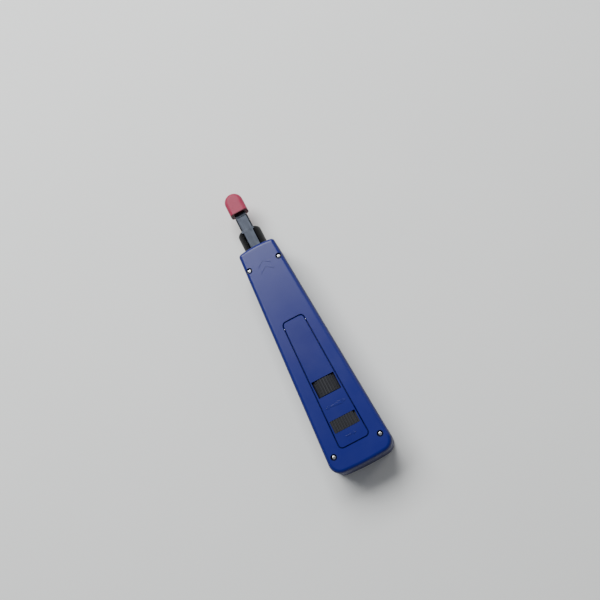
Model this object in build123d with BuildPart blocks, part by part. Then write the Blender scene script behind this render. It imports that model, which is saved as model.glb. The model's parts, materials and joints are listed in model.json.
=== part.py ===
"""Impact punch down tool, lying on its back.

+Y runs along the tool towards the blade tip, +Z is the normal of the control
face, and the origin is the centre of the footprint on the back face.
Positions along the tool are stations: millimetres from the butt end.
"""
from build123d import *
import math
import os

# ---------------------------------------------------------------- overall sizes
LENGTH = 180.6              # butt end to the end of the tip cap
THICKNESS = 26.0            # back face to control face
AXIS_Z = 14.2               # height of the mechanism axis and of the parting plane

BODY_END = 141.2            # station of the body's front edge
HALF_WIDTH_REAR = 18.6      # half-width of the body at REAR_STATION
REAR_STATION = 16.0
HALF_WIDTH_FRONT = 11.5     # half-width at the front edge
BUTT_RADIUS = 7.0
BUTT_ARC = 1.2              # how far the butt edge bows out
NOSE_ARC = 1.1              # how far the front edge bows out
EDGE_ROUND = 2.3            # rounding of the face edges
NOSE_CORNER = 2.0
SEAM_BEVEL = 0.3            # small bevel each side of the parting line
WALL = 2.0
EMBED = 0.5                 # how far ribs and bosses run into the walls
NOSE_SOLID = 126.8          # the casing is solid from here forward
CAVITY_START = 2.6
CAVITY_CORNER = 5.0

# ---------------------------------------------------------------- storage door
DOOR_REAR = 12.8
DOOR_FRONT = 90.8
DOOR_HALF_REAR = 9.0
DOOR_HALF_FRONT = 6.4
DOOR_THICKNESS = 1.6
DOOR_GAP = 0.35
DOOR_CORNER = 2.2
DOOR_EDGE = 0.3             # bevelled top edge of the door and its opening
LEDGE = 0.8                 # how far the shell reaches under the door's edge
LEDGE_RIM = 1.8
LEDGE_DEPTH = 1.6
HINGE_RADIUS = 0.9
HINGE_PIN_RADIUS = 0.4
HINGE_PIN_HALF = 8.2
HINGE_FIT = 0.05
HINGE_SETBACK = 3.4         # hinge line behind the door's front edge
SWING_CLEARANCE = 0.35
WINDOW_A = (42.8, 52.9)     # stations of the wheel window
WINDOW_A_HALF = 6.95
WINDOW_B = (21.5, 28.7)     # stations of the latch window
WINDOW_B_HALF = 7.75

# ---------------------------------------------------------------- latch slider
LATCH_TRAVEL = 1.3
LATCH_GAP = 0.1
LATCH_RIB_PITCH = 1.5
LATCH_RIB_WIDTH = 0.75
LATCH_RIB_HEIGHT = 0.6
LATCH_RIB_ROUND = 0.25
LATCH_PROUD = 0.3
LATCH_BASE = (20.6, 29.6)
LATCH_BASE_THICKNESS = 1.1
LATCH_BASE_INSET = (0.15, 0.35)   # back from the door's edge at -X and at +X
LATCH_RAIL = 0.7
LATCH_RAIL_INSET = 1.0
LATCH_LIP = 0.5
LATCH_LIP_REACH = 0.6
LATCH_RELIEF = 1.2

# ---------------------------------------------------------------- force setting
WHEEL_RADIUS = 12.1
WHEEL = (43.2, 52.5)
WHEEL_TEETH = 46
WHEEL_GROOVE = 0.48
WHEEL_RIM = 2.0
WHEEL_RECESS = 2.6
WHEEL_ROOM = 0.4            # clearance around the wheel
WHEEL_FRONT_ROOM = 0.3
SCREW_SQUARE = 3.5
SCREW_RADIUS = 2.5
SCREW_END = 64.5
JOURNAL_RADIUS = 1.7
JOURNAL_START = 38.0
WASHER = (41.65, 43.2)
WASHER_RADIUS = 5.0
REAR_BEARING = (39.0, 41.6)
FRONT_BEARING = (52.9, 54.6)
SEAT = (55.4, 59.4)
SEAT_HALF = 9.0
SEAT_RIM = 0.3              # how far the round seat stands past the spring
SEAT_WING = 2.0
SEAT_SPIGOT = 1.6
SPIGOT_GAP = 0.3            # between the spigot and the inside of the spring
SEAT_RAIL = (55.0, 66.0)
SEAT_RAIL_GRIP = 2.0        # how far the rails lie alongside the seat's wings
THREAD_PITCH = 1.5
THREAD_DEPTH = 0.35
THREAD_START = 55.0
THREAD_CHAMFER = 0.5

# ---------------------------------------------------------------- impact mechanism
FIT = 0.06                  # radial running clearance
TRAVEL = 8.0                # plunger travel
SPRING_RADIUS = 4.9
SPRING_WIRE = 1.1
SPRING_TURNS = 9
HAMMER = (82.0, 110.0)
HAMMER_RADIUS = 5.2
HAMMER_CHAMFER = 0.4
HAMMER_SPIGOT = 4.0
HAMMER_SPIGOT_RADIUS = 3.0
HAMMER_BORE_END = 88.0
HAMMER_GUIDES = ((83.0, 86.0), (99.5, 101.5))
ROD_RADIUS = 2.5
ROD = (98.0, 132.0)
ROD_CHAMFER = 0.4
ROD_RIB = (112.0, 114.0)
CLIP = (110.5, 111.7)
CLIP_GROOVE_RADIUS = 1.9
CLIP_RADIUS = 4.2
CLIP_MOUTH = 2.6
LATCH_PLATE = (95.5, 97.8)
PLATE_INNER = -3.0
PLATE_OUTER = 6.6
PLATE_HALF = 2.9
PLATE_SHIFT = 1.2
PLATE_NOTCH = 0.8
PLATE_NOTCH_HALF = 1.1
PLATE_SLIDE = 0.1           # clearance of the plate in its slot
PLATE_SPRING_RADIUS = 0.9
PLATE_SPRING_START = -5.0
PLATE_SPRING_WIRE = 0.24
PLATE_SPRING_TURNS = 5
BAND_RADIUS = 5.6
BAND_HALF_ANGLE = 55.0
BAND_LAP = 0.3              # how far the band runs past each face of the plate
CAM = (86.5, 97.0)
CAM_OUTER = 11.0
CAM_HALF = 1.9
CAM_GAP = 0.15
CAM_BAND_GAP = 0.15
CAM_BOSS = (85.0, 98.6)
CAM_BOSS_HALF = 4.0
CAM_BOSS_INNER = 8.6
RETURN_RADIUS = 3.7
RETURN_WIRE = 0.7
RETURN_TURNS = 6

# ---------------------------------------------------------------- nose and holder
HOLDER = (128.0, 155.0)
HOLDER_RADIUS = 7.2
HOLDER_ROUND = 2.2
HOLDER_CHAMFER = 0.6
SLOT_HALF = 4.05
SLOT_START = 141.0
BUSH = (129.9, 138.2)
BUSH_RADIUS = 8.2
BUSH_FLANGE = (134.2, 136.2)
BUSH_FLANGE_RADIUS = 9.2
NOSE_BORE = 7.5
HOLDER_PIN_STATION = 130.0
HOLDER_PIN_RADIUS = 0.8
HOLDER_PIN_HALF = 7.0
DETENT_STATION = 137.0
DETENT_RADIUS = 1.0
DETENT_DEPTH = 2.2          # ball centre below the axis
DETENT_PLUG = (5.4, 7.0)    # depths of the plug's two ends below the axis
DETENT_PLUG_RADIUS = 1.4
DETENT_SLOT = (1.8, 0.4, 0.5)     # screwdriver slot: length, width, depth
DETENT_WIRE = 0.28
DETENT_TURNS = 4
DETENT_GROOVE = 0.08        # how much larger the blade's groove is than the ball

# ---------------------------------------------------------------- blade and cap
BLADE_HALF = 3.9
BLADE_BEVEL = 0.9
SHOULDER_BEVEL = 0.5
BLADE_THICKNESS = 3.2
BLADE_TAIL = 133.3
BLADE_BAND = (154.6, 156.0)
BLADE_BAND_STEP = 0.12
BLADE_SHOULDER = 165.0
TIP_HALF = 3.3
TIP_THICKNESS = 2.6
TIP_END = 176.0
TIP_SLOT = 0.9
TIP_SLOT_DEPTH = 6.0
SOCKET_CLEARANCE = 0.05
SOCKET_START = 133.0
CUTTER = (157.0, 176.6)
CUTTER_THICKNESS = 0.7
CUTTER_HALF = 2.6
RIVET_STATIONS = (158.6, 162.0)
RIVET_RADIUS = 0.8
RIVET_TOP = 0.4             # height of the rivets' blind ends above the axis
RIVET_PROUD = 0.1
CUTTER_CHAMFER = 0.5
CAP = (167.2, 180.6)
CAP_HALF = 5.6
CAP_THICKNESS = 8.6
CAP_ROUND = 2.6
CAP_FIT = 0.1
CAP_POCKET_END = 177.2

# ---------------------------------------------------------------- tray and screws
TRAY = (54.9, 104.0)
TRAY_HALF = 6.0
TRAY_WALL = 0.9
TRAY_FLOOR_Z = 19.65
TRAY_FLOOR = 0.55
TRAY_TOP_Z = 22.4
TRAY_CORNER = 0.4
TRAY_FIT = 0.1
FACE_SCREWS = ((14.3, 10.5), (9.6, 128.3))   # half spacing, station
SCREW_HEAD_RADIUS = 1.35
SCREW_HEAD_HEIGHT = 1.3
SCREW_SINK = 0.5
SCREW_RECESS_RADIUS = 1.85
SCREW_SHANK_RADIUS = 1.0
SCREW_TIP_Z = 5.0
SCREW_DOME = 0.9
SCREW_CROSS = (1.3, 0.32, 0.5)               # length, width, depth
BOSS_RADIUS = 3.2

# ---------------------------------------------------------------- derived sizes
DOOR_UNDER_Z = THICKNESS - DOOR_THICKNESS
HINGE_Z = THICKNESS - HINGE_RADIUS
HINGE_STATION = DOOR_FRONT - HINGE_SETBACK
SWING_RADIUS = math.hypot(HINGE_SETBACK, HINGE_RADIUS) + SWING_CLEARANCE
TAPER = (HALF_WIDTH_REAR - HALF_WIDTH_FRONT) / (BODY_END - REAR_STATION)
DOOR_TAPER = (DOOR_HALF_REAR - DOOR_HALF_FRONT) / (DOOR_FRONT - DOOR_REAR)

os.makedirs("parts", exist_ok=True)


# ---------------------------------------------------------------- helpers
def along(station):
    """Y coordinate of a station."""
    return station - LENGTH / 2


def body_half(station):
    """Half-width of the casing at a station."""
    return HALF_WIDTH_REAR - TAPER * (station - REAR_STATION)


def door_half(station):
    """Half-width of the storage door at a station."""
    return DOOR_HALF_REAR - DOOR_TAPER * (station - DOOR_REAR)


def section(station):
    """Plane across the mechanism axis, facing the tip, with local Y pointing up."""
    return Plane(origin=(0, along(station), AXIS_Z), x_dir=(-1, 0, 0), z_dir=(0, 1, 0))


def block(x_span, station_span, z_span, mode=Mode.ADD):
    """Add or cut a box given by its X, station and Z limits."""
    size = (x_span[1] - x_span[0], station_span[1] - station_span[0], z_span[1] - z_span[0])
    centre = (sum(x_span) / 2, along(sum(station_span) / 2), sum(z_span) / 2)
    with Locations(centre):
        Box(*size, mode=mode)


def axle(radius, station_span, mode=Mode.ADD):
    """Add or cut a cylinder on the mechanism axis."""
    start, end = station_span
    with Locations(Location((0, along((start + end) / 2), AXIS_Z), (90, 0, 0))):
        Cylinder(radius, end - start, mode=mode)


def body_outline():
    """Plan outline of the casing."""
    with BuildSketch() as outline:
        with BuildLine():
            rear = body_half(BUTT_ARC)
            front = HALF_WIDTH_FRONT
            nose = along(BODY_END - NOSE_ARC)
            Line((-rear, along(BUTT_ARC)), (-front, nose))
            ThreePointArc((-front, nose), (0, along(BODY_END)), (front, nose))
            Line((front, nose), (rear, along(BUTT_ARC)))
            ThreePointArc((rear, along(BUTT_ARC)), (0, along(0)), (-rear, along(BUTT_ARC)))
        make_face()
        corners = outline.vertices().sort_by(Axis.Y)
        fillet(corners[:2], BUTT_RADIUS)
        fillet(outline.vertices().sort_by(Axis.Y)[-2:], NOSE_CORNER)
    return outline.sketch


def cavity_outline():
    """Plan outline of the hollow inside the casing."""
    with BuildSketch() as outline:
        rear = body_half(CAVITY_START) - WALL
        front = body_half(NOSE_SOLID) - WALL
        Polygon(
            (-rear, along(CAVITY_START)),
            (rear, along(CAVITY_START)),
            (front, along(NOSE_SOLID)),
            (-front, along(NOSE_SOLID)),
            align=None,
        )
        fillet(outline.vertices().sort_by(Axis.Y)[:2], CAVITY_CORNER)
    return outline.sketch


def door_outline(margin):
    """Plan outline of the door, grown by margin, with rounded corners."""
    rear_station = DOOR_REAR - margin
    front_station = DOOR_FRONT + margin
    with BuildSketch() as outline:
        rear = door_half(rear_station) + margin
        front = door_half(front_station) + margin
        Polygon(
            (-rear, along(rear_station)),
            (rear, along(rear_station)),
            (front, along(front_station)),
            (-front, along(front_station)),
            align=None,
        )
        fillet(outline.vertices(), DOOR_CORNER + margin)
    return outline.sketch


def screw_places(z):
    """Centres of the four case screws at a height."""
    return [(side * half, along(station), z) for half, station in FACE_SCREWS for side in (-1, 1)]


def rib(station_span, z_span):
    """Add a cross rib that reaches both side walls."""
    half = body_half(station_span[1]) - WALL + EMBED
    block((-half, half), station_span, z_span)


def mechanism_bores():
    """Cut the running bores that both shells share."""
    axle(JOURNAL_RADIUS + FIT, REAR_BEARING, Mode.SUBTRACT)
    axle(SCREW_RADIUS + FIT, FRONT_BEARING, Mode.SUBTRACT)
    for guide in HAMMER_GUIDES:
        axle(HAMMER_RADIUS + FIT, guide, Mode.SUBTRACT)
    axle(ROD_RADIUS + FIT, ROD_RIB, Mode.SUBTRACT)
    axle(HOLDER_RADIUS + 2 * FIT, (NOSE_SOLID, BUSH[0]), Mode.SUBTRACT)
    axle(BUSH_RADIUS, BUSH, Mode.SUBTRACT)
    axle(BUSH_FLANGE_RADIUS, BUSH_FLANGE, Mode.SUBTRACT)
    axle(NOSE_BORE, (BUSH[1], BODY_END), Mode.SUBTRACT)


def shell_inside(z_span, rail_span):
    """Add the ribs, rails and cam boss of one shell between two heights."""
    for span in (REAR_BEARING, FRONT_BEARING, *HAMMER_GUIDES, ROD_RIB):
        rib(span, z_span)
    rail_inner = SEAT_HALF - SEAT_RAIL_GRIP
    rail_outer = body_half(SEAT_RAIL[1]) - WALL + EMBED
    block((rail_inner, rail_outer), SEAT_RAIL, rail_span)
    block((-rail_outer, -rail_inner), SEAT_RAIL, rail_span)


def cam_pocket(z_span):
    """Add the trip cam's boss on the +X wall and hollow it for the cam."""
    block((CAM_BOSS_INNER, body_half(CAM_BOSS[1]) - WALL + EMBED), CAM_BOSS, z_span)
    block((CAM_BOSS_INNER, CAM_OUTER), CAM, (AXIS_Z - CAM_HALF, AXIS_Z + CAM_HALF), Mode.SUBTRACT)


def wheel_room():
    """Cut the clearance that the wheel turns in."""
    span = (WHEEL[0] - WHEEL_ROOM, WHEEL[1] + WHEEL_FRONT_ROOM)
    axle(WHEEL_RADIUS + WHEEL_ROOM, span, Mode.SUBTRACT)


def spring_coil(start, direction, radius, wire, turns, length):
    """Sweep a round-wire compression spring that fills a length from its start point."""
    height = length - wire
    first_turn = Vector(*start) + Vector(*direction) * (wire / 2)
    with BuildLine() as path:
        Helix(height / turns, height, radius - wire / 2, first_turn, direction)
    with BuildSketch(Plane(origin=path.line @ 0, z_dir=path.line % 0)) as profile:
        Circle(wire / 2)
    sweep(sections=profile.sketch, path=path.line)


# ---------------------------------------------------------------- rear shell
with BuildPart() as rear_shell:
    with BuildSketch():
        add(body_outline())
    extrude(amount=AXIS_Z)
    fillet(rear_shell.faces().sort_by(Axis.Z)[0].edges(), EDGE_ROUND)
    chamfer(rear_shell.faces().sort_by(Axis.Z)[-1].edges(), SEAM_BEVEL)
    with BuildSketch(Plane.XY.offset(WALL)):
        add(cavity_outline())
    extrude(amount=AXIS_Z, mode=Mode.SUBTRACT)
    shell_inside((WALL - EMBED, AXIS_Z), (WALL - EMBED, AXIS_Z - SEAT_WING - FIT))
    cam_pocket((AXIS_Z - CAM_BOSS_HALF, AXIS_Z))
    with Locations(*screw_places((WALL + AXIS_Z) / 2)[:2]):
        Cylinder(BOSS_RADIUS, AXIS_Z - WALL)
    mechanism_bores()
    wheel_room()
    with Locations(*screw_places((SCREW_TIP_Z + AXIS_Z) / 2)):
        Cylinder(SCREW_SHANK_RADIUS, AXIS_Z - SCREW_TIP_Z, mode=Mode.SUBTRACT)
rear_shell.part.label = "rear_shell"
export_step(rear_shell.part, "parts/rear_shell.step")

# ---------------------------------------------------------------- front shell
with BuildPart() as front_shell:
    with BuildSketch(Plane.XY.offset(AXIS_Z)):
        add(body_outline())
    extrude(amount=THICKNESS - AXIS_Z)
    fillet(front_shell.faces().sort_by(Axis.Z)[-1].edges(), EDGE_ROUND)
    chamfer(front_shell.faces().sort_by(Axis.Z)[0].edges(), SEAM_BEVEL)
    with BuildSketch(Plane.XY.offset(AXIS_Z)):
        add(cavity_outline())
    extrude(amount=THICKNESS - WALL - AXIS_Z, mode=Mode.SUBTRACT)
    with BuildSketch(Plane.XY.offset(DOOR_UNDER_Z - LEDGE_DEPTH)):
        add(door_outline(LEDGE_RIM))
    extrude(amount=LEDGE_DEPTH)
    rib_top = THICKNESS - WALL + EMBED
    shell_inside((AXIS_Z, rib_top), (AXIS_Z + SEAT_WING + FIT, rib_top))
    cam_pocket((AXIS_Z, AXIS_Z + CAM_BOSS_HALF))
    with Locations(*screw_places((AXIS_Z + THICKNESS - WALL) / 2)[:2]):
        Cylinder(BOSS_RADIUS, THICKNESS - WALL - AXIS_Z)
    mechanism_bores()
    # opening under the door, then the recess that the door itself fills
    with BuildSketch(Plane.XY.offset(TRAY_FLOOR_Z - TRAY_FIT)):
        add(door_outline(-LEDGE))
    extrude(amount=THICKNESS, mode=Mode.SUBTRACT)
    with BuildSketch(Plane.XY.offset(DOOR_UNDER_Z)):
        add(door_outline(DOOR_GAP))
    extrude(amount=THICKNESS, mode=Mode.SUBTRACT)
    with BuildSketch(Plane.XY.offset(THICKNESS - DOOR_EDGE)):
        add(door_outline(DOOR_GAP))
    extrude(amount=2 * DOOR_EDGE, taper=-45, mode=Mode.SUBTRACT)
    # room for the door's front edge as it swings down
    swing_half = door_half(HINGE_STATION - SWING_RADIUS) + DOOR_GAP
    block(
        (-swing_half, swing_half),
        (HINGE_STATION - HINGE_RADIUS - SWING_CLEARANCE, DOOR_FRONT + DOOR_GAP),
        (HINGE_Z - SWING_RADIUS, DOOR_UNDER_Z),
        Mode.SUBTRACT,
    )
    block(
        (-TRAY_HALF - TRAY_FIT, TRAY_HALF + TRAY_FIT),
        (TRAY[0] - TRAY_FIT, TRAY[1] + TRAY_FIT),
        (TRAY_FLOOR_Z - TRAY_FIT, TRAY_TOP_Z + TRAY_FIT),
        Mode.SUBTRACT,
    )
    wheel_room()
    # relief for the latch slider and its tongue slot in the +X rim
    latch_reach = DOOR_HALF_REAR + DOOR_GAP
    block(
        (-latch_reach, latch_reach + LATCH_TRAVEL),
        (LATCH_BASE[0] - LATCH_RELIEF, LATCH_BASE[1] + LATCH_RELIEF),
        (DOOR_UNDER_Z - LEDGE_DEPTH, DOOR_UNDER_Z),
        Mode.SUBTRACT,
    )
    with Locations(Location((0, along(HINGE_STATION), HINGE_Z), (0, 90, 0))):
        Cylinder(HINGE_PIN_RADIUS, 2 * HINGE_PIN_HALF, mode=Mode.SUBTRACT)
    with Locations(*screw_places((AXIS_Z + THICKNESS) / 2)):
        Cylinder(SCREW_SHANK_RADIUS, THICKNESS - AXIS_Z, mode=Mode.SUBTRACT)
    recess_depth = SCREW_SINK + SCREW_HEAD_HEIGHT
    with Locations(*screw_places(THICKNESS - recess_depth / 2)):
        Cylinder(SCREW_RECESS_RADIUS, recess_depth, mode=Mode.SUBTRACT)
front_shell.part.label = "front_shell"
export_step(front_shell.part, "parts/front_shell.step")

# ---------------------------------------------------------------- case screws
with BuildPart() as case_screws:
    head_top = THICKNESS - SCREW_SINK
    head_under = head_top - SCREW_HEAD_HEIGHT
    with Locations(*screw_places((head_top + head_under) / 2)):
        Cylinder(SCREW_HEAD_RADIUS, SCREW_HEAD_HEIGHT)
    fillet(case_screws.edges().group_by(Axis.Z)[-1], SCREW_DOME)
    with Locations(*screw_places((SCREW_TIP_Z + head_under) / 2)):
        Cylinder(SCREW_SHANK_RADIUS, head_under - SCREW_TIP_Z)
    cross_length, cross_width, cross_depth = SCREW_CROSS
    with Locations(*screw_places(head_top - cross_depth / 2)):
        Box(cross_length, cross_width, cross_depth, mode=Mode.SUBTRACT)
        Box(cross_width, cross_length, cross_depth, mode=Mode.SUBTRACT)
case_screws.part.label = "case_screws"
export_step(case_screws.part, "parts/case_screws.step")

# ---------------------------------------------------------------- storage door
with BuildPart() as storage_door:
    with BuildSketch(Plane.XY.offset(DOOR_UNDER_Z)):
        add(door_outline(0))
    extrude(amount=DOOR_THICKNESS)
    chamfer(storage_door.faces().sort_by(Axis.Z)[-1].edges(), DOOR_EDGE)
    with Locations(Location((0, along(HINGE_STATION), HINGE_Z), (0, 90, 0))):
        Cylinder(HINGE_RADIUS, 2 * (door_half(HINGE_STATION) - DOOR_EDGE))
        Cylinder(HINGE_PIN_RADIUS + HINGE_FIT, 2 * DOOR_HALF_REAR, mode=Mode.SUBTRACT)
    window_z = (DOOR_UNDER_Z, THICKNESS)
    block((-WINDOW_A_HALF, WINDOW_A_HALF), WINDOW_A, window_z, Mode.SUBTRACT)
    block((-WINDOW_B_HALF, WINDOW_B_HALF), WINDOW_B, window_z, Mode.SUBTRACT)
    # rails and lips that hold the latch slider against the underside
    rail_half = door_half(LATCH_BASE[1]) - LATCH_RAIL_INSET
    rail_low = DOOR_UNDER_Z - LATCH_BASE_THICKNESS - 2 * LATCH_GAP - LATCH_LIP
    for base_edge, outward in ((LATCH_BASE[0], -1), (LATCH_BASE[1], 1)):
        rail_outer = base_edge + outward * LATCH_RAIL
        rail_inner = base_edge + outward * LATCH_GAP
        lip_inner = base_edge - outward * LATCH_LIP_REACH
        block((-rail_half, rail_half), sorted((rail_outer, rail_inner)), (rail_low, DOOR_UNDER_Z))
        block((-rail_half, rail_half), sorted((rail_outer, lip_inner)), (rail_low, rail_low + LATCH_LIP))
storage_door.part.label = "storage_door"
export_step(storage_door.part, "parts/storage_door.step")

with BuildPart() as door_hinge_pin:
    with Locations(Location((0, along(HINGE_STATION), HINGE_Z), (0, 90, 0))):
        Cylinder(HINGE_PIN_RADIUS, 2 * HINGE_PIN_HALF)
door_hinge_pin.part.label = "door_hinge_pin"
export_step(door_hinge_pin.part, "parts/door_hinge_pin.step")

# ---------------------------------------------------------------- door latch
with BuildPart() as door_latch:
    base_top = DOOR_UNDER_Z - LATCH_GAP
    base_left = LATCH_BASE_INSET[0] - door_half(LATCH_BASE[1])
    base_right = door_half(LATCH_BASE[1]) - LATCH_BASE_INSET[1]
    block((base_left, base_right), LATCH_BASE, (base_top - LATCH_BASE_THICKNESS, base_top))
    pad_left = LATCH_GAP - WINDOW_B_HALF
    pad_right = WINDOW_B_HALF - LATCH_GAP - LATCH_TRAVEL
    pad_stations = (WINDOW_B[0] + LATCH_GAP, WINDOW_B[1] - LATCH_GAP)
    valley_z = THICKNESS + LATCH_PROUD - LATCH_RIB_HEIGHT
    block((pad_left, pad_right), pad_stations, (base_top, valley_z))
    rib_count = int((pad_right - pad_left - LATCH_RIB_WIDTH) // LATCH_RIB_PITCH) + 1
    rib_start = (pad_left + pad_right - (rib_count - 1) * LATCH_RIB_PITCH) / 2
    for number in range(rib_count):
        rib_x = rib_start + number * LATCH_RIB_PITCH
        rib_span = (rib_x - LATCH_RIB_WIDTH / 2, rib_x + LATCH_RIB_WIDTH / 2)
        block(rib_span, pad_stations, (valley_z, THICKNESS + LATCH_PROUD))
    rib_tops = door_latch.edges().filter_by(Axis.Y).group_by(Axis.Z)[-1]
    fillet(rib_tops, LATCH_RIB_ROUND)
door_latch.part.label = "door_latch"
export_step(door_latch.part, "parts/door_latch.step")

# ---------------------------------------------------------------- blade tray
with BuildPart() as blade_tray:
    tray_z = (TRAY_FLOOR_Z, TRAY_TOP_Z)
    block((-TRAY_HALF, TRAY_HALF), TRAY, tray_z)
    block(
        (TRAY_WALL - TRAY_HALF, TRAY_HALF - TRAY_WALL),
        (TRAY[0] + TRAY_WALL, TRAY[1] - TRAY_WALL),
        (TRAY_FLOOR_Z + TRAY_FLOOR, THICKNESS),
        Mode.SUBTRACT,
    )
    fillet(blade_tray.edges().filter_by(Axis.Z), TRAY_CORNER)
    # notch in the side walls for the door's front edge as it swings down
    block(
        (-TRAY_HALF, TRAY_HALF),
        (HINGE_STATION - SWING_RADIUS, DOOR_FRONT),
        (HINGE_Z - SWING_RADIUS, TRAY_TOP_Z),
        Mode.SUBTRACT,
    )
blade_tray.part.label = "blade_tray"
export_step(blade_tray.part, "parts/blade_tray.step")

# ---------------------------------------------------------------- force wheel
with BuildPart() as force_wheel:
    with BuildSketch(section(WHEEL[0])):
        Circle(WHEEL_RADIUS)
        with PolarLocations(WHEEL_RADIUS, WHEEL_TEETH):
            Circle(WHEEL_GROOVE, mode=Mode.SUBTRACT)
        Rectangle(SCREW_SQUARE, SCREW_SQUARE, mode=Mode.SUBTRACT)
    extrude(amount=WHEEL[1] - WHEEL[0])
    with BuildSketch(section(WHEEL[1])):
        Circle(WHEEL_RADIUS - WHEEL_RIM)
        Circle(WASHER_RADIUS, mode=Mode.SUBTRACT)
    extrude(amount=-WHEEL_RECESS, mode=Mode.SUBTRACT)
force_wheel.part.label = "force_wheel"
export_step(force_wheel.part, "parts/force_wheel.step")

with BuildPart() as adjusting_screw:
    axle(JOURNAL_RADIUS, (JOURNAL_START, WHEEL[0]))
    with BuildSketch(section(WHEEL[0])):
        Rectangle(SCREW_SQUARE, SCREW_SQUARE)
    extrude(amount=WHEEL[1] - WHEEL[0])
    axle(SCREW_RADIUS, (WHEEL[1], SCREW_END))
    thread_grooves = int((SCREW_END - THREAD_START) / THREAD_PITCH)
    for number in range(thread_grooves):
        with BuildSketch(section(THREAD_START + number * THREAD_PITCH)):
            Circle(SCREW_RADIUS)
            Circle(SCREW_RADIUS - THREAD_DEPTH, mode=Mode.SUBTRACT)
        extrude(amount=THREAD_PITCH / 2, mode=Mode.SUBTRACT)
    chamfer(adjusting_screw.edges().sort_by(Axis.Y)[-1], THREAD_CHAMFER)
adjusting_screw.part.label = "adjusting_screw"
export_step(adjusting_screw.part, "parts/adjusting_screw.step")

with BuildPart() as thrust_washer:
    axle(WASHER_RADIUS, (WASHER[0], WASHER[1] - FIT))
    axle(JOURNAL_RADIUS + FIT, WASHER, Mode.SUBTRACT)
thrust_washer.part.label = "thrust_washer"
export_step(thrust_washer.part, "parts/thrust_washer.step")

with BuildPart() as spring_seat:
    axle(SPRING_RADIUS + SEAT_RIM, SEAT)
    block((-SEAT_HALF, SEAT_HALF), SEAT, (AXIS_Z - SEAT_WING, AXIS_Z + SEAT_WING))
    spigot_radius = SPRING_RADIUS - SPRING_WIRE - SPIGOT_GAP
    axle(spigot_radius, (SEAT[1], SEAT[1] + SEAT_SPIGOT))
    axle(SCREW_RADIUS + FIT, (SEAT[0], SEAT[1] + SEAT_SPIGOT), Mode.SUBTRACT)
spring_seat.part.label = "spring_seat"
export_step(spring_seat.part, "parts/spring_seat.step")

# ---------------------------------------------------------------- springs
with BuildPart() as main_spring:
    main_start = (0, along(SEAT[1]), AXIS_Z)
    main_length = HAMMER[0] - SEAT[1]
    spring_coil(main_start, (0, 1, 0), SPRING_RADIUS, SPRING_WIRE, SPRING_TURNS, main_length)
main_spring.part.label = "main_spring"
export_step(main_spring.part, "parts/main_spring.step")

with BuildPart() as return_spring:
    return_start = (0, along(ROD_RIB[1]), AXIS_Z)
    return_length = HOLDER[0] - ROD_RIB[1]
    spring_coil(return_start, (0, 1, 0), RETURN_RADIUS, RETURN_WIRE, RETURN_TURNS, return_length)
return_spring.part.label = "return_spring"
export_step(return_spring.part, "parts/return_spring.step")

with BuildPart() as trip_latch_spring:
    plate_mid = along(sum(LATCH_PLATE) / 2)
    plate_start = (PLATE_SPRING_START, plate_mid, AXIS_Z)
    plate_length = PLATE_INNER + PLATE_NOTCH - PLATE_SPRING_START
    spring_coil(
        plate_start,
        (1, 0, 0),
        PLATE_SPRING_RADIUS,
        PLATE_SPRING_WIRE,
        PLATE_SPRING_TURNS,
        plate_length,
    )
trip_latch_spring.part.label = "trip_latch_spring"
export_step(trip_latch_spring.part, "parts/trip_latch_spring.step")

# ---------------------------------------------------------------- hammer
with BuildPart() as hammer:
    axle(HAMMER_RADIUS, HAMMER)
    chamfer(hammer.edges(), HAMMER_CHAMFER)
    axle(HAMMER_SPIGOT_RADIUS, (HAMMER[0] - HAMMER_SPIGOT, HAMMER[0]))
    axle(ROD_RADIUS + FIT, (HAMMER_BORE_END, HAMMER[1]), Mode.SUBTRACT)
    block(
        (-HAMMER_RADIUS, HAMMER_RADIUS),
        (LATCH_PLATE[0] - PLATE_SLIDE, LATCH_PLATE[1] + PLATE_SLIDE),
        (AXIS_Z - PLATE_HALF - PLATE_SLIDE, AXIS_Z + PLATE_HALF + PLATE_SLIDE),
        Mode.SUBTRACT,
    )
hammer.part.label = "hammer"
export_step(hammer.part, "parts/hammer.step")

with BuildPart() as latch_band:
    with BuildSketch(section(LATCH_PLATE[0] - BAND_LAP)):
        Circle(BAND_RADIUS)
        Circle(HAMMER_RADIUS, mode=Mode.SUBTRACT)
        band_reach = 2 * BAND_RADIUS
        band_edge = band_reach * math.tan(math.radians(BAND_HALF_ANGLE))
        Polygon((0, 0), (band_reach, band_edge), (band_reach, -band_edge), align=None, mode=Mode.INTERSECT)
    extrude(amount=LATCH_PLATE[1] - LATCH_PLATE[0] + 2 * BAND_LAP)
latch_band.part.label = "latch_band"
export_step(latch_band.part, "parts/latch_band.step")

with BuildPart() as trip_latch:
    plate_z = (AXIS_Z - PLATE_HALF, AXIS_Z + PLATE_HALF)
    block((PLATE_INNER, PLATE_OUTER), LATCH_PLATE, plate_z)
    notch_z = (AXIS_Z - PLATE_NOTCH_HALF, AXIS_Z + PLATE_NOTCH_HALF)
    block((PLATE_INNER, PLATE_INNER + PLATE_NOTCH), LATCH_PLATE, notch_z, Mode.SUBTRACT)
    with Locations(Location((PLATE_SHIFT, plate_mid, AXIS_Z), (90, 0, 0))):
        Cylinder(ROD_RADIUS - PLATE_SLIDE, LATCH_PLATE[1] - LATCH_PLATE[0], mode=Mode.SUBTRACT)
trip_latch.part.label = "trip_latch"
export_step(trip_latch.part, "parts/trip_latch.step")

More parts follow.
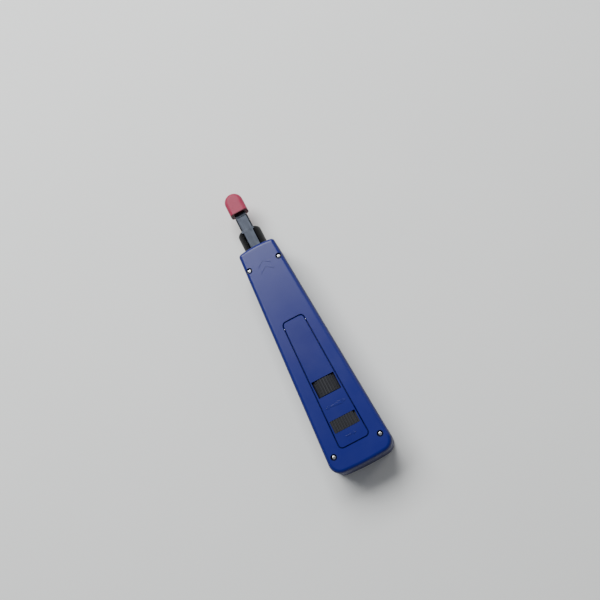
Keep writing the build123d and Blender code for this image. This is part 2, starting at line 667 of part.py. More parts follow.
with BuildPart() as trip_cam:
    with BuildSketch(Plane.XY.offset(AXIS_Z - CAM_HALF)):
        slope = PLATE_SHIFT / TRAVEL
        ramp_rear = PLATE_OUTER + CAM_GAP - slope * (LATCH_PLATE[0] - CAM[0])
        ramp_front = PLATE_OUTER + CAM_GAP + slope * (CAM[1] - LATCH_PLATE[0])
        Polygon(
            (ramp_rear, along(CAM[0])),
            (CAM_OUTER, along(CAM[0])),
            (CAM_OUTER, along(CAM[1])),
            (ramp_front, along(CAM[1])),
            align=None,
        )
    extrude(amount=2 * CAM_HALF)
    axle(BAND_RADIUS + CAM_BAND_GAP, CAM, Mode.SUBTRACT)
trip_cam.part.label = "trip_cam"
export_step(trip_cam.part, "parts/trip_cam.step")

# ---------------------------------------------------------------- plunger
with BuildPart() as striker_rod:
    axle(ROD_RADIUS, ROD)
    chamfer(striker_rod.edges().sort_by(Axis.Y)[0], ROD_CHAMFER)
    with BuildSketch(section(CLIP[0])):
        Circle(ROD_RADIUS)
        Circle(CLIP_GROOVE_RADIUS, mode=Mode.SUBTRACT)
    extrude(amount=CLIP[1] - CLIP[0], mode=Mode.SUBTRACT)
    with Locations(Location((0, along(HOLDER_PIN_STATION), AXIS_Z), (0, 90, 0))):
        Cylinder(HOLDER_PIN_RADIUS, 2 * HOLDER_PIN_HALF, mode=Mode.SUBTRACT)
striker_rod.part.label = "striker_rod"
export_step(striker_rod.part, "parts/striker_rod.step")

with BuildPart() as rod_clip:
    with BuildSketch(section(CLIP[0])):
        Circle(CLIP_RADIUS)
        Circle(CLIP_GROOVE_RADIUS, mode=Mode.SUBTRACT)
        with Locations((0, -CLIP_RADIUS)):
            Rectangle(CLIP_MOUTH, CLIP_RADIUS, mode=Mode.SUBTRACT)
    extrude(amount=CLIP[1] - CLIP[0])
rod_clip.part.label = "rod_clip"
export_step(rod_clip.part, "parts/rod_clip.step")

with BuildPart() as blade_holder:
    axle(HOLDER_RADIUS, HOLDER)
    fillet(blade_holder.edges().sort_by(Axis.Y)[-1], HOLDER_ROUND)
    chamfer(blade_holder.edges().sort_by(Axis.Y)[0], HOLDER_CHAMFER)
    ear_z = (AXIS_Z - HOLDER_RADIUS, AXIS_Z + HOLDER_RADIUS)
    block((-SLOT_HALF, SLOT_HALF), (SLOT_START, HOLDER[1]), ear_z, Mode.SUBTRACT)
    socket_half = BLADE_HALF + SOCKET_CLEARANCE
    socket_lift = BLADE_THICKNESS / 2 + SOCKET_CLEARANCE
    block(
        (-socket_half, socket_half),
        (SOCKET_START, SLOT_START),
        (AXIS_Z - socket_lift, AXIS_Z + socket_lift),
        Mode.SUBTRACT,
    )
    axle(ROD_RADIUS, (HOLDER[0], ROD[1]), Mode.SUBTRACT)
    with Locations(Location((0, along(HOLDER_PIN_STATION), AXIS_Z), (0, 90, 0))):
        Cylinder(HOLDER_PIN_RADIUS, 2 * HOLDER_RADIUS, mode=Mode.SUBTRACT)
    detent_y = along(DETENT_STATION)
    with Locations((0, detent_y, AXIS_Z - DETENT_PLUG[0] / 2)):
        Cylinder(DETENT_RADIUS + FIT, DETENT_PLUG[0], mode=Mode.SUBTRACT)
    with Locations((0, detent_y, AXIS_Z - (DETENT_PLUG[0] + HOLDER_RADIUS) / 2)):
        Cylinder(DETENT_PLUG_RADIUS, HOLDER_RADIUS - DETENT_PLUG[0], mode=Mode.SUBTRACT)
blade_holder.part.label = "blade_holder"
export_step(blade_holder.part, "parts/blade_holder.step")

with BuildPart() as holder_pin:
    with Locations(Location((0, along(HOLDER_PIN_STATION), AXIS_Z), (0, 90, 0))):
        Cylinder(HOLDER_PIN_RADIUS, 2 * HOLDER_PIN_HALF)
holder_pin.part.label = "holder_pin"
export_step(holder_pin.part, "parts/holder_pin.step")

with BuildPart() as detent_ball:
    with Locations((0, detent_y, AXIS_Z - DETENT_DEPTH)):
        Sphere(DETENT_RADIUS)
detent_ball.part.label = "detent_ball"
export_step(detent_ball.part, "parts/detent_ball.step")

with BuildPart() as detent_spring:
    detent_start = (0, detent_y, AXIS_Z - DETENT_PLUG[0])
    detent_length = DETENT_PLUG[0] - DETENT_DEPTH - DETENT_RADIUS
    spring_coil(detent_start, (0, 0, 1), DETENT_RADIUS, DETENT_WIRE, DETENT_TURNS, detent_length)
detent_spring.part.label = "detent_spring"
export_step(detent_spring.part, "parts/detent_spring.step")

with BuildPart() as detent_plug:
    plug_length = DETENT_PLUG[1] - DETENT_PLUG[0]
    with Locations((0, detent_y, AXIS_Z - sum(DETENT_PLUG) / 2)):
        Cylinder(DETENT_PLUG_RADIUS, plug_length)
    slot_length, slot_width, slot_depth = DETENT_SLOT
    with Locations((0, detent_y, AXIS_Z - DETENT_PLUG[1] + slot_depth / 2)):
        Box(slot_length, slot_width, slot_depth, mode=Mode.SUBTRACT)
detent_plug.part.label = "detent_plug"
export_step(detent_plug.part, "parts/detent_plug.step")

with BuildPart() as nose_bush:
    axle(BUSH_RADIUS, BUSH)
    axle(BUSH_FLANGE_RADIUS, BUSH_FLANGE)
    axle(HOLDER_RADIUS + FIT, BUSH, Mode.SUBTRACT)
nose_bush.part.label = "nose_bush"
export_step(nose_bush.part, "parts/nose_bush.step")

# ---------------------------------------------------------------- blade
with BuildPart() as blade_body:
    half_thick = BLADE_THICKNESS / 2
    blade_z = (AXIS_Z - half_thick, AXIS_Z + half_thick)
    block((-BLADE_HALF, BLADE_HALF), (BLADE_TAIL, BLADE_SHOULDER), blade_z)
    chamfer(blade_body.edges().filter_by(Axis.Y), BLADE_BEVEL)
    chamfer(blade_body.faces().sort_by(Axis.Y)[-1].edges().filter_by(Axis.X), SHOULDER_BEVEL)
    band_half = BLADE_HALF + BLADE_BAND_STEP
    band_lift = half_thick + BLADE_BAND_STEP
    block((-band_half, band_half), BLADE_BAND, (AXIS_Z - band_lift, AXIS_Z + band_lift))
    tip_lift = TIP_THICKNESS / 2
    block((-TIP_HALF, TIP_HALF), (BLADE_SHOULDER, TIP_END), (AXIS_Z - tip_lift, AXIS_Z + tip_lift))
    block((-TIP_SLOT / 2, TIP_SLOT / 2), (TIP_END - TIP_SLOT_DEPTH, TIP_END), blade_z, Mode.SUBTRACT)
    # seat for the cutter leaf on the back of the blade
    seat_top = AXIS_Z - half_thick + CUTTER_THICKNESS
    block((-CUTTER_HALF, CUTTER_HALF), (CUTTER[0], TIP_END), (blade_z[0], seat_top), Mode.SUBTRACT)
    rivet_length = half_thick + RIVET_TOP
    with Locations(*[(0, along(station), blade_z[0] + rivet_length / 2) for station in RIVET_STATIONS]):
        Cylinder(RIVET_RADIUS, rivet_length, mode=Mode.SUBTRACT)
    # groove that passes the detent ball as the blade is drawn out
    groove_radius = DETENT_RADIUS + DETENT_GROOVE
    groove_y = along((BLADE_TAIL + DETENT_STATION) / 2)
    with Locations(Location((0, groove_y, AXIS_Z - DETENT_DEPTH), (90, 0, 0))):
        Cylinder(groove_radius, DETENT_STATION - BLADE_TAIL, mode=Mode.SUBTRACT)
    with Locations((0, detent_y, AXIS_Z - DETENT_DEPTH)):
        Sphere(groove_radius, mode=Mode.SUBTRACT)
blade_body.part.label = "blade_body"
export_step(blade_body.part, "parts/blade_body.step")

with BuildPart() as blade_cutter:
    block((-CUTTER_HALF, CUTTER_HALF), CUTTER, (blade_z[0], seat_top))
    cutting_edge = blade_cutter.edges().filter_by(Axis.X).group_by(Axis.Y)[-1].sort_by(Axis.Z)[0]
    chamfer(cutting_edge, CUTTER_CHAMFER)
    with Locations(*[(0, along(station), blade_z[0]) for station in RIVET_STATIONS]):
        Cylinder(RIVET_RADIUS, 4 * CUTTER_THICKNESS, mode=Mode.SUBTRACT)
blade_cutter.part.label = "blade_cutter"
export_step(blade_cutter.part, "parts/blade_cutter.step")

with BuildPart() as cutter_rivets:
    rivet_low = blade_z[0] - RIVET_PROUD
    rivet_high = AXIS_Z + RIVET_TOP
    with Locations(*[(0, along(station), (rivet_low + rivet_high) / 2) for station in RIVET_STATIONS]):
        Cylinder(RIVET_RADIUS, rivet_high - rivet_low)
cutter_rivets.part.label = "cutter_rivets"
export_step(cutter_rivets.part, "parts/cutter_rivets.step")

# ---------------------------------------------------------------- tip cap
with BuildPart() as tip_cap:
    dome_height = CAP_HALF
    with BuildSketch(Plane.XY.offset(AXIS_Z)):
        with BuildLine():
            shoulder = CAP[1] - dome_height
            Polyline(
                (-CAP_HALF, along(shoulder)),
                (-CAP_HALF, along(CAP[0])),
                (CAP_HALF, along(CAP[0])),
                (CAP_HALF, along(shoulder)),
            )
            ThreePointArc((CAP_HALF, along(shoulder)), (0, along(CAP[1])), (-CAP_HALF, along(shoulder)))
        make_face()
    extrude(amount=CAP_THICKNESS / 2, both=True)
    cap_faces = tip_cap.faces().sort_by(Axis.Z)
    cap_rims = (cap_faces[0].edges() + cap_faces[-1].edges()).sort_by(Axis.Y)
    fillet(cap_rims[2:], CAP_ROUND)
    block(
        (-TIP_HALF - CAP_FIT, TIP_HALF + CAP_FIT),
        (CAP[0], CAP_POCKET_END),
        (AXIS_Z - half_thick - CAP_FIT, AXIS_Z + half_thick),
        Mode.SUBTRACT,
    )
tip_cap.part.label = "tip_cap"
export_step(tip_cap.part, "parts/tip_cap.step")
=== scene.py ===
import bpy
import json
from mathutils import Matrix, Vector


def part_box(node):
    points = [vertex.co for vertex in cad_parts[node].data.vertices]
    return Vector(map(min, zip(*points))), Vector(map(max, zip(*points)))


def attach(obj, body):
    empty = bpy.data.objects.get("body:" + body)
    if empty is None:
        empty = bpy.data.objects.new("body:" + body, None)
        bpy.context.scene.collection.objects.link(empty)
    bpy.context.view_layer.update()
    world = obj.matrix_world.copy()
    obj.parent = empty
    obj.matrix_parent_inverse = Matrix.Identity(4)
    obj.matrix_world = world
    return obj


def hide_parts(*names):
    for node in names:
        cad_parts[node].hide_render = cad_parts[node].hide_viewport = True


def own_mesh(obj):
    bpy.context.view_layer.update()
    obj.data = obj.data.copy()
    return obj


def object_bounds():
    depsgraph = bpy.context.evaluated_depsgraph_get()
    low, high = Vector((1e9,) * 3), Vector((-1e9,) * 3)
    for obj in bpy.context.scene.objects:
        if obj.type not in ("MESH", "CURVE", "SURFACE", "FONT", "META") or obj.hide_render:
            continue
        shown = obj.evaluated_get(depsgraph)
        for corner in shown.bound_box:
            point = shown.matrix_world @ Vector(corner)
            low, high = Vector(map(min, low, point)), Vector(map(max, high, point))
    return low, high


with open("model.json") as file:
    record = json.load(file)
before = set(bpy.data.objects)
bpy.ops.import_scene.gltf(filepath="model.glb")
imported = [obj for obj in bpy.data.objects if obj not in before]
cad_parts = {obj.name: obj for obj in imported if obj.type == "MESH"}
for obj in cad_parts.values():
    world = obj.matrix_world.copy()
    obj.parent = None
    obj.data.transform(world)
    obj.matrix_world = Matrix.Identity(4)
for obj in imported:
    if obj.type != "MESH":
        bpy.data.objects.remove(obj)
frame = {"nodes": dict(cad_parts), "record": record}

"""Looks of the impact punch down tool: materials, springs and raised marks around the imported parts.

Lengths are metres in the part's frame: +Y towards the blade tip, +Z out of the control face.
"""
import json
import math

import bmesh
import bpy
from mathutils import Matrix, Vector

MM = 0.001
cad_box = [list(corner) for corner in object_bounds()]


# ---------------------------------------------------------------- node helpers
RAY_SAMPLES = 6
EDGE_BEND = (0.015, 0.12)       # 1 - cosine of the true and the rounded normal, flat to edge
OPEN_SKY = (0.30, 0.90)         # ambient occlusion, from the bottom of a groove to open ground

# the colour sockets of a Mix node
MIX_FACTOR, MIX_FIRST, MIX_SECOND = 0, 6, 7
MIX_RESULT = 2


def feed(socket, value):
    """Links another node's output into a socket, or sets the socket's own value."""
    if isinstance(value, bpy.types.NodeSocket):
        socket.id_data.links.new(value, socket)
    else:
        socket.default_value = value


def start_material(name):
    """A new material, its Principled shader's inputs, and a function that adds a node to it."""
    material = bpy.data.materials.new(name)
    material.use_nodes = True
    tree = material.node_tree

    def add(kind, **inputs):
        node = tree.nodes.new(kind)
        for key, value in inputs.items():
            feed(node.inputs[key], value)
        return node

    return material, tree.nodes["Principled BSDF"].inputs, add


def noise(add, vector, scale, detail, roughness=0.55):
    """The value of a noise texture with features about 1/scale metres across."""
    node = add("ShaderNodeTexNoise", Vector=vector, Scale=scale, Detail=detail, Roughness=roughness)
    return node.outputs["Fac"]


def remap(add, value, low, high, to_low, to_high):
    """Stretches a value range on to another, clamped."""
    ends = {"From Min": low, "From Max": high, "To Min": to_low, "To Max": to_high}
    node = add("ShaderNodeMapRange", Value=value, **ends)
    node.clamp = True
    return node.outputs["Result"]


def mix(add, factor, first, second):
    """Colour mix of two colours or sockets."""
    node = add("ShaderNodeMix")
    node.data_type = "RGBA"
    feed(node.inputs[MIX_FACTOR], factor)
    for index, item in ((MIX_FIRST, first), (MIX_SECOND, second)):
        feed(node.inputs[index], (*item, 1.0) if isinstance(item, tuple) else item)
    return node.outputs[MIX_RESULT]


def maths(add, operation, *values):
    """One Math node."""
    node = add("ShaderNodeMath")
    node.operation = operation
    for socket, value in zip(node.inputs, values):
        feed(socket, value)
    return node.outputs["Value"]


def edge_mask(add, radius):
    """White along sharp edges, black on flat ground."""
    rounded = add("ShaderNodeBevel", Radius=radius)
    rounded.samples = RAY_SAMPLES
    cosine = add("ShaderNodeVectorMath")
    cosine.operation = "DOT_PRODUCT"
    feed(cosine.inputs[0], rounded.outputs["Normal"])
    feed(cosine.inputs[1], add("ShaderNodeNewGeometry").outputs["True Normal"])
    bend = maths(add, "SUBTRACT", 1.0, cosine.outputs["Value"])
    return remap(add, bend, *EDGE_BEND, 0.0, 1.0)


def open_ground(add, reach):
    """Black in grooves and inside corners, white on open ground: the mask of the painted groove
    shade.
    """
    sky = add("ShaderNodeAmbientOcclusion", Distance=reach)
    sky.samples = RAY_SAMPLES
    return remap(add, sky.outputs["AO"], *OPEN_SKY, 0.0, 1.0)


def bump(add, height, strength, distance, over=None):
    """A bump normal from a height value, on top of another bump where one is given."""
    node = add("ShaderNodeBump", Height=height, Strength=strength, Distance=distance)
    if over is not None:
        feed(node.inputs["Normal"], over)
    return node.outputs["Normal"]


def toned(colour, by):
    """A colour made darker or brighter by a factor."""
    return tuple(channel * by for channel in colour)


# ---------------------------------------------------------------- the three kinds of material
# noise scales, in features a metre
FLOW_MARKS = 45.0
HAND_SMUDGES = 70.0
WEAR_PATCHES = 420.0
SPARK_GRAIN = 2600.0
STEEL_STAINS = 260.0
GRINDING_LINES = 2400.0
VINYL_DRIPS = 160.0
VINYL_MOTTLE = 380.0
VINYL_GRAIN = 2200.0

# the ranges of noise values that are spread out
NOISE_SPREAD = (0.3, 0.7)
PATCH_SPREAD = (0.42, 0.68)
STAIN_SPREAD = (0.35, 0.65)
MOTTLE_SPREAD = (0.35, 0.7)

GROOVE_REACH = 0.9 * MM
GRAIN_DEPTH = 0.02 * MM
FLOW_DEPTH = 0.4 * MM
LINE_DEPTH = 0.012 * MM
DRIP_DEPTH = 0.25 * MM

PLASTIC_EDGE = 0.35 * MM
PLASTIC_IOR = 1.46
FLOW_TONE = 0.93                # the darker end of the flow marks
WALL_NORMAL = (0.30, 0.90)      # size of the normal's Z, from a side wall to a face
POLISHED, DULLED = 0.02, 0.03   # roughness that handling takes off and leaves

STEEL_EDGE = 0.18 * MM
STEEL_EDGE_WEAR = 0.65
EDGE_GAIN, EDGE_LIFT = 1.55, 0.03
LINE_POLISH, LINE_SCRATCH = 0.07, 0.10
EVEN = (1.0, 1.0, 1.0)          # no direction in the steel's lines
LENGTHWISE = (1.0, 0.04, 1.0)   # lines that run along Y

# colour factor of the painted shade at the cap's open base rim
RIM_SHADE_TONE = 0.22
MOTTLE_WEIGHT = 0.6
VINYL_ROUGHNESS = (0.36, 0.5)
VINYL_SPECULAR = 0.2
VINYL_DEPTH = 0.12              # weight of the light that scatters under the skin
VINYL_REACH = (1.2 * MM, 0.5 * MM, 0.5 * MM)


def moulded(name, colour, worn, roughness, specular=0.5, wear=0.35, groove_shade_tone=0.35,
            side_shade_tone=1.0, side_matte=0.0):
    """Moulded plastic: sparked grain, soft flow marks, handling polish, paler rubbed edges and
    painted shade in grooves.

    Side walls may get painted shade, a darker colour where the side tone is below 1, and be rougher
    (side_matte above 0) than the faces.
    """
    material, shader, add = start_material(name)
    place = add("ShaderNodeTexCoord").outputs
    where = place["Object"]
    normal = add("ShaderNodeSeparateXYZ", Vector=place["Normal"]).outputs
    sideways = remap(add, maths(add, "ABSOLUTE", normal["Z"]), *WALL_NORMAL, 1.0, 0.0)
    flow = noise(add, where, FLOW_MARKS, detail=3.0)

    clear = remap(add, flow, *NOISE_SPREAD, 0.0, 1.0)
    tinted = mix(add, clear, toned(colour, FLOW_TONE), colour)
    # painted shade: side walls darker than the faces
    tinted = mix(add, sideways, tinted, toned(colour, side_shade_tone))
    # painted shade: the colour darkens in grooves, seams and inside corners, by ambient occlusion
    tinted = mix(add, open_ground(add, GROOVE_REACH), toned(colour, groove_shade_tone), tinted)
    patches = noise(add, where, WEAR_PATCHES, detail=5.0)
    patchy = remap(add, patches, *PATCH_SPREAD, 0.0, wear)
    rubbed = maths(add, "MULTIPLY", edge_mask(add, PLASTIC_EDGE), patchy)
    feed(shader["Base Color"], mix(add, rubbed, tinted, worn))

    smudges = noise(add, where, HAND_SMUDGES, detail=3.0, roughness=0.5)
    polish = remap(add, smudges, *NOISE_SPREAD, roughness - POLISHED, roughness + DULLED)
    matte = maths(add, "MULTIPLY", sideways, side_matte)
    feed(shader["Roughness"], maths(add, "ADD", polish, matte))

    ripple = bump(add, flow, strength=0.10, distance=FLOW_DEPTH)
    grain = noise(add, where, SPARK_GRAIN, detail=2.0)
    feed(shader["Normal"], bump(add, grain, strength=0.35, distance=GRAIN_DEPTH, over=ripple))
    feed(shader["IOR"], PLASTIC_IOR)
    feed(shader["Specular IOR Level"], specular)
    return material


def steel(name, colour, roughness, along=LENGTHWISE, stain=0.25):
    """Ground or turned steel: fine lines, faint stains and brighter edges."""
    material, shader, add = start_material(name)
    where = add("ShaderNodeTexCoord").outputs["Object"]
    stretched = add("ShaderNodeMapping", Vector=where, Scale=along).outputs["Vector"]
    lines = noise(add, stretched, GRINDING_LINES, detail=3.0)
    clouds = noise(add, where, STEEL_STAINS, detail=6.0, roughness=0.6)

    bright = tuple(min(1.0, channel * EDGE_GAIN + EDGE_LIFT) for channel in colour)
    clean = remap(add, clouds, *STAIN_SPREAD, 0.0, 1.0)
    ground = mix(add, clean, toned(colour, 1.0 - stain), colour)
    rubbed = maths(add, "MULTIPLY", edge_mask(add, STEEL_EDGE), STEEL_EDGE_WEAR)
    feed(shader["Base Color"], mix(add, rubbed, ground, bright))
    scratched = (roughness - LINE_POLISH, roughness + LINE_SCRATCH)
    feed(shader["Roughness"], remap(add, lines, *NOISE_SPREAD, *scratched))
    feed(shader["Normal"], bump(add, lines, strength=0.4, distance=LINE_DEPTH))
    feed(shader["Metallic"], 1.0)
    return material


def vinyl(name, colour, pale, rim, rim_width):
    """Dip-moulded soft vinyl: waxy, mottled, faintly dripped, with painted shade at its open base
    rim.
    """
    material, shader, add = start_material(name)
    where = add("ShaderNodeTexCoord").outputs["Object"]
    mottle = noise(add, where, VINYL_MOTTLE, detail=5.0, roughness=0.6)
    station = add("ShaderNodeSeparateXYZ", Vector=where).outputs["Y"]

    skin = mix(add, remap(add, mottle, *MOTTLE_SPREAD, 0.0, MOTTLE_WEIGHT), colour, pale)
    # painted shade: the cap darkens towards its open base rim
    ahead = remap(add, station, rim, rim + rim_width, 0.0, 1.0)
    feed(shader["Base Color"], mix(add, ahead, toned(colour, RIM_SHADE_TONE), skin))
    feed(shader["Roughness"], remap(add, mottle, *NOISE_SPREAD, *VINYL_ROUGHNESS))

    runs = noise(add, where, VINYL_DRIPS, detail=3.0)
    drips = bump(add, runs, strength=0.25, distance=DRIP_DEPTH)
    grain = noise(add, where, VINYL_GRAIN, detail=2.0)
    feed(shader["Normal"], bump(add, grain, strength=0.2, distance=GRAIN_DEPTH, over=drips))
    feed(shader["Specular IOR Level"], VINYL_SPECULAR)
    feed(shader["Subsurface Weight"], VINYL_DEPTH)
    feed(shader["Subsurface Radius"], VINYL_REACH)
    feed(shader["Subsurface Scale"], 1.0)
    return material


# ---------------------------------------------------------------- one material for each slot
BLUE = (0.0013, 0.0060, 0.155)
WORN_BLUE = (0.020, 0.050, 0.32)
BLACK = (0.008, 0.008, 0.010)
HOLDER_BLACK = (0.004, 0.004, 0.005)
CONTROL_BLACK = (0.024, 0.024, 0.029)
TRAY_BLACK = (0.030, 0.030, 0.034)
WORN_BLACK = (0.05, 0.05, 0.055)
BLADE_GREY = (0.055, 0.061, 0.076)
CUTTER_GREY = (0.24, 0.25, 0.28)
NICKEL = (0.92, 0.92, 0.90)
BRIGHT_GREY = (0.52, 0.52, 0.53)
SPRING_GREY = (0.34, 0.34, 0.36)
PINK = (0.34, 0.030, 0.072)
PALE_PINK = (0.40, 0.065, 0.11)
# where the painted shade band at the cap's base begins
CAP_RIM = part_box("tip_cap")[0][1]
CAP_RIM_WIDTH = 0.7 * MM

materials = {
    # the shell's side walls carry painted shade and a rougher finish
    "shell_blue": moulded("shell_blue", BLUE, WORN_BLUE, 0.30, side_shade_tone=0.42, side_matte=0.22),
    "door_blue": moulded("door_blue", toned(BLUE, 0.96), WORN_BLUE, 0.29),
    "tray_plastic": moulded("tray_plastic", TRAY_BLACK, WORN_BLACK, 0.5, wear=0.2),
    "control_black": moulded(
        "control_black", CONTROL_BLACK, WORN_BLACK, 0.50, specular=0.32, wear=0.5, groove_shade_tone=0.05,
    ),
    "bush_black": moulded("bush_black", BLACK, WORN_BLACK, 0.42, specular=0.35, wear=0.3),
    "holder_black": moulded(
        "holder_black", HOLDER_BLACK, WORN_BLACK, 0.48, specular=0.22, wear=0.4,
    ),
    "blade_steel": steel("blade_steel", BLADE_GREY, 0.50),
    "cutter_steel": steel("cutter_steel", CUTTER_GREY, 0.36),
    "screw_nickel": steel("screw_nickel", NICKEL, 0.12, along=EVEN, stain=0.06),
    "bright_steel": steel("bright_steel", BRIGHT_GREY, 0.30),
    "spring_steel": steel("spring_steel", SPRING_GREY, 0.36, along=EVEN),
    "cap_vinyl": vinyl("cap_vinyl", PINK, PALE_PINK, CAP_RIM, CAP_RIM_WIDTH),
}
for part in frame["record"]["subparts"]:
    shown = frame["nodes"][part["node"]]
    shown.data.materials.clear()
    shown.data.materials.append(materials[part["material_slot"]])


# ---------------------------------------------------------------- springs
COIL_STEPS = 28                 # rings of the wire in one turn
WIRE_CORNERS = 10
CLOSED_TURNS = 0.8              # flat turns at each end
MAIN_WIRE, MAIN_TURNS = 1.1 * MM, 10
RETURN_WIRE, RETURN_TURNS = 0.7 * MM, 7
LATCH_WIRE, LATCH_TURNS = 0.24 * MM, 6
REAR_SHARE = 3                  # the main spring's rear run is one part in this many of its rings
PLUNGER_TRAVEL = 8.0 * MM
SEAT_TRAVEL = 2.5 * MM
ALONG = (0, 1, 0)
ACROSS = (1, 0, 0)


def finish_piece(name, made, body, slot):
    """Turns finished bmesh data into a piece that rides on a body and wears a slot's material."""
    bmesh.ops.recalc_face_normals(made, faces=made.faces)
    mesh = bpy.data.meshes.new(name)
    made.to_mesh(mesh)
    made.free()
    mesh.materials.append(materials[slot])
    piece = bpy.data.objects.new(name, mesh)
    bpy.context.collection.objects.link(piece)
    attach(piece, body)
    return piece


def coil(node, direction, wire, turns):
    """The rings of a compression spring with closed end turns, along its CAD node's box."""
    low, high = (Vector(corner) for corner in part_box(node))
    axis = Vector(direction)
    side = axis.orthogonal().normalized()
    across = axis.cross(side)
    length = (high - low).dot(axis)
    radius = (high - low).z / 2 - wire / 2
    start = (low + high) / 2 - axis * length / 2
    open_turns = turns - 2 * CLOSED_TURNS
    rings = []
    for step in range(turns * COIL_STEPS + 1):
        turn = step / COIL_STEPS
        risen = min(max(turn - CLOSED_TURNS, 0.0), open_turns) / open_turns
        angle = 2 * math.pi * turn
        outward = side * math.cos(angle) + across * math.sin(angle)
        centre = start + axis * (wire / 2 + (length - wire) * risen) + outward * radius
        ring = []
        for corner in range(WIRE_CORNERS):
            around = 2 * math.pi * corner / WIRE_CORNERS
            ring.append(centre + (outward * math.cos(around) + axis * math.sin(around)) * wire / 2)
        rings.append(ring)
    return rings, start, length


def wire_piece(name, rings, body):
    """A solid wire through a run of rings."""
    made = bmesh.new()
    placed = [[made.verts.new(corner) for corner in ring] for ring in rings]
    for first, second in zip(placed, placed[1:]):
        for corner in range(WIRE_CORNERS):
            after = (corner + 1) % WIRE_CORNERS
            quad = made.faces.new((first[corner], first[after], second[after], second[corner]))
            quad.smooth = True
    made.faces.new(placed[0])
    made.faces.new(placed[-1])
    return finish_piece(name, made, body, "spring_steel")


def closing_spring(node, body, direction, wire, turns):
    """A spring's coil, built in place of its CAD node and riding on a body."""
    rings, start, length = coil(node, direction, wire, turns)
    piece = wire_piece(node + "_coil", rings, body)
    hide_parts(node)
    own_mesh(piece)


def main_spring():
    """The main spring in two runs that meet, both riding on the casing."""
    rings, start, length = coil("main_spring", ALONG, MAIN_WIRE, MAIN_TURNS)
    split = len(rings) // REAR_SHARE
    meeting = sum(rings[split], Vector()) / WIRE_CORNERS
    rear_length = meeting.y - start.y
    front_length = length - rear_length
    front = wire_piece("main_spring_front_turns", rings[split:], "casing")
    rear = wire_piece("main_spring_rear_turns", rings[:split + 1], "casing")
    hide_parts("main_spring")
    for piece, joint, travel, run in (
        (front, "plunger_press", PLUNGER_TRAVEL, front_length),
        (rear, "seat_slide", SEAT_TRAVEL, rear_length),
    ):
        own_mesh(piece)


main_spring()
closing_spring(
    "return_spring", "casing", ALONG, RETURN_WIRE, RETURN_TURNS,
)
closing_spring(
    "trip_latch_spring", "hammer_group", ACROSS, LATCH_WIRE, LATCH_TURNS,
)


# ---------------------------------------------------------------- raised marks on the control face
# Outlines and stations are millimetres across the tool and millimetres from its butt end.
BUTT = cad_box[0][1]
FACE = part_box("front_shell")[1][2]
MARK_HEIGHT = 0.16 * MM
MARK_ROOT = 0.03 * MM           # how far a mark starts below the face
MARK_ROUNDING = 0.07 * MM

WEDGE_STATION = 36.0
WEDGE_END = 3.6
WEDGE_THIN, WEDGE_THICK = 0.25, 1.15
FORCE_ARROW_TIP, FORCE_ARROW_LENGTH, FORCE_ARROW_HALF = 6.0, 1.6, 0.95
LATCH_STATION = 17.6
LATCH_ARROW_TIP, LATCH_ARROW_LENGTH, LATCH_ARROW_HALF = 3.4, 2.0, 1.0
LATCH_TAIL_START, LATCH_TAIL_END, LATCH_TAIL_HALF = -3.0, 0.6, 0.3
CHEVRON_STATIONS = (123.0, 127.0)
CHEVRON_HALF, CHEVRON_RISE, CHEVRON_STROKE = 4.2, 3.0, 1.3


def raised_mark(name, outline, body, slot):
    """A low moulded-in mark with rounded edges."""
    made = bmesh.new()
    sunk = FACE - MARK_ROOT
    base = [made.verts.new((x * MM, BUTT + station * MM, sunk)) for x, station in outline]
    made.faces.new(base)
    raised = bmesh.ops.extrude_face_region(made, geom=list(made.faces))
    top = [item for item in raised["geom"] if isinstance(item, bmesh.types.BMVert)]
    for corner in top:
        corner.co.z = FACE + MARK_HEIGHT
    rims = [edge for edge in made.edges if all(corner in top for corner in edge.verts)]
    uprights = [edge for edge in made.edges if sum(corner in top for corner in edge.verts) == 1]
    bmesh.ops.bevel(
        made, geom=rims + uprights, offset=MARK_ROUNDING, segments=2, profile=0.6, affect="EDGES",
    )
    finish_piece(name, made, body, slot)


def bar(name, x_start, start_half, x_end, end_half, station):
    """A straight mark across the door, with its half width at each end."""
    outline = [
        (x_start, station - start_half), (x_end, station - end_half),
        (x_end, station + end_half), (x_start, station + start_half),
    ]
    raised_mark(name, outline, "door", "door_blue")


def arrowhead(name, x, station, length, half):
    """An arrowhead across the door, pointing to +X for a positive length."""
    outline = [(x, station), (x - length, station + half), (x - length, station - half)]
    raised_mark(name, outline, "door", "door_blue")


# between the windows: a wedge that grows with the set force, and an arrowhead at each end
bar("force_wedge", -WEDGE_END, WEDGE_THIN, WEDGE_END, WEDGE_THICK, WEDGE_STATION)
for name, way in (("less_force_mark", -1), ("more_force_mark", 1)):
    tip, length = way * FORCE_ARROW_TIP, way * FORCE_ARROW_LENGTH
    arrowhead(name, tip, WEDGE_STATION, length, FORCE_ARROW_HALF)
# behind the latch: the way it slides to lock
arrowhead("latch_mark", LATCH_ARROW_TIP, LATCH_STATION, LATCH_ARROW_LENGTH, LATCH_ARROW_HALF)
bar(
    "latch_mark_tail", LATCH_TAIL_START, LATCH_TAIL_HALF, LATCH_TAIL_END, LATCH_TAIL_HALF,
    LATCH_STATION,
)
# near the nose: two chevrons towards the blade
for number, station in enumerate(CHEVRON_STATIONS, start=1):
    peak = station + CHEVRON_RISE
    chevron = [
        (-CHEVRON_HALF, station), (0, peak), (CHEVRON_HALF, station),
        (CHEVRON_HALF, station + CHEVRON_STROKE), (0, peak + CHEVRON_STROKE),
        (-CHEVRON_HALF, station + CHEVRON_STROKE),
    ]
    raised_mark(f"nose_chevron_{number}", chevron, "casing", "shell_blue")


# ---------------------------------------------------------------- floor, light and camera
FLOOR_HALF = 3.0
FLOOR_TONES = (0.86, 0.85, 0.82), (0.90, 0.89, 0.86)
FLOOR_CLOUDS = 12.0
FLOOR_ROUGHNESS = 0.75
TOOL_MIDDLE = Vector((0, 0, 0.013))
SKY_COLOUR = (0.80, 0.84, 0.90, 1.0)
SKY_STRENGTH = 0.24

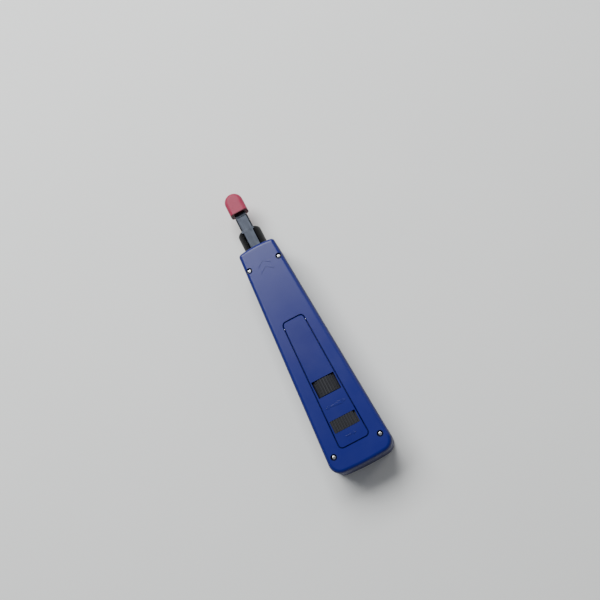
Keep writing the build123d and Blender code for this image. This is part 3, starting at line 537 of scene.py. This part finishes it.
# the photograph's viewing angle: about 16 degrees off the face normal, from the butt's side
EYE = Vector((26.5, -129.8, 522.1)) * MM
VIEW_RIGHT = Vector((0.88332, -0.44259, -0.15445))
VIEW_UP = Vector((0.46752, 0.85578, 0.22149))
LENS_MM, SENSOR_MM = 54.0, 36.0
NEAR_CLIP = 0.01


def floor():
    """A plain pale ground that the tool lies on."""
    mesh = bpy.data.meshes.new("floor")
    half = FLOOR_HALF
    corners = [(-half, -half, 0), (half, -half, 0), (half, half, 0), (-half, half, 0)]
    mesh.from_pydata(corners, [], [(0, 1, 2, 3)])
    ground = bpy.data.objects.new("floor", mesh)
    bpy.context.collection.objects.link(ground)
    material, shader, add = start_material("floor_paint")
    where = add("ShaderNodeTexCoord").outputs["Object"]
    feed(shader["Base Color"], mix(add, noise(add, where, FLOOR_CLOUDS, detail=3.0), *FLOOR_TONES))
    feed(shader["Roughness"], FLOOR_ROUGHNESS)
    mesh.materials.append(material)
    ground.location.z = cad_box[0][2]


def softbox(name, place, size, power, colour):
    """A rectangular area light aimed at the middle of the tool."""
    lamp = bpy.data.lights.new(name, "AREA")
    lamp.shape = "RECTANGLE"
    lamp.size, lamp.size_y = size
    lamp.energy = power
    lamp.color = colour
    holder = bpy.data.objects.new(name, lamp)
    holder.location = place
    holder.rotation_euler = (TOOL_MIDDLE - Vector(place)).to_track_quat("-Z", "Y").to_euler()
    bpy.context.collection.objects.link(holder)


def camera():
    """The camera, with its axes squared up."""
    back = VIEW_RIGHT.cross(VIEW_UP).normalized()
    turned = Matrix((VIEW_RIGHT, back.cross(VIEW_RIGHT), back)).transposed().to_4x4()
    lens = bpy.data.cameras.new("camera")
    lens.lens = LENS_MM
    lens.sensor_width = SENSOR_MM
    lens.clip_start = NEAR_CLIP
    holder = bpy.data.objects.new("camera", lens)
    holder.matrix_world = Matrix.Translation(EYE) @ turned
    bpy.context.collection.objects.link(holder)
    bpy.context.scene.camera = holder


def sky():
    """An even pale surround."""
    world = bpy.data.worlds.new("studio")
    world.use_nodes = True
    surround = world.node_tree.nodes["Background"].inputs
    feed(surround["Color"], SKY_COLOUR)
    feed(surround["Strength"], SKY_STRENGTH)
    bpy.context.scene.world = world


floor()
softbox("key", place=(-0.10, 0.80, 1.05), size=(1.1, 0.75), power=27.0, colour=(0.95, 0.98, 1.0))
softbox("side", place=(1.1, 0.35, 0.70), size=(0.3, 0.9), power=1.6, colour=(1.0, 0.98, 0.95))
sky()
camera()
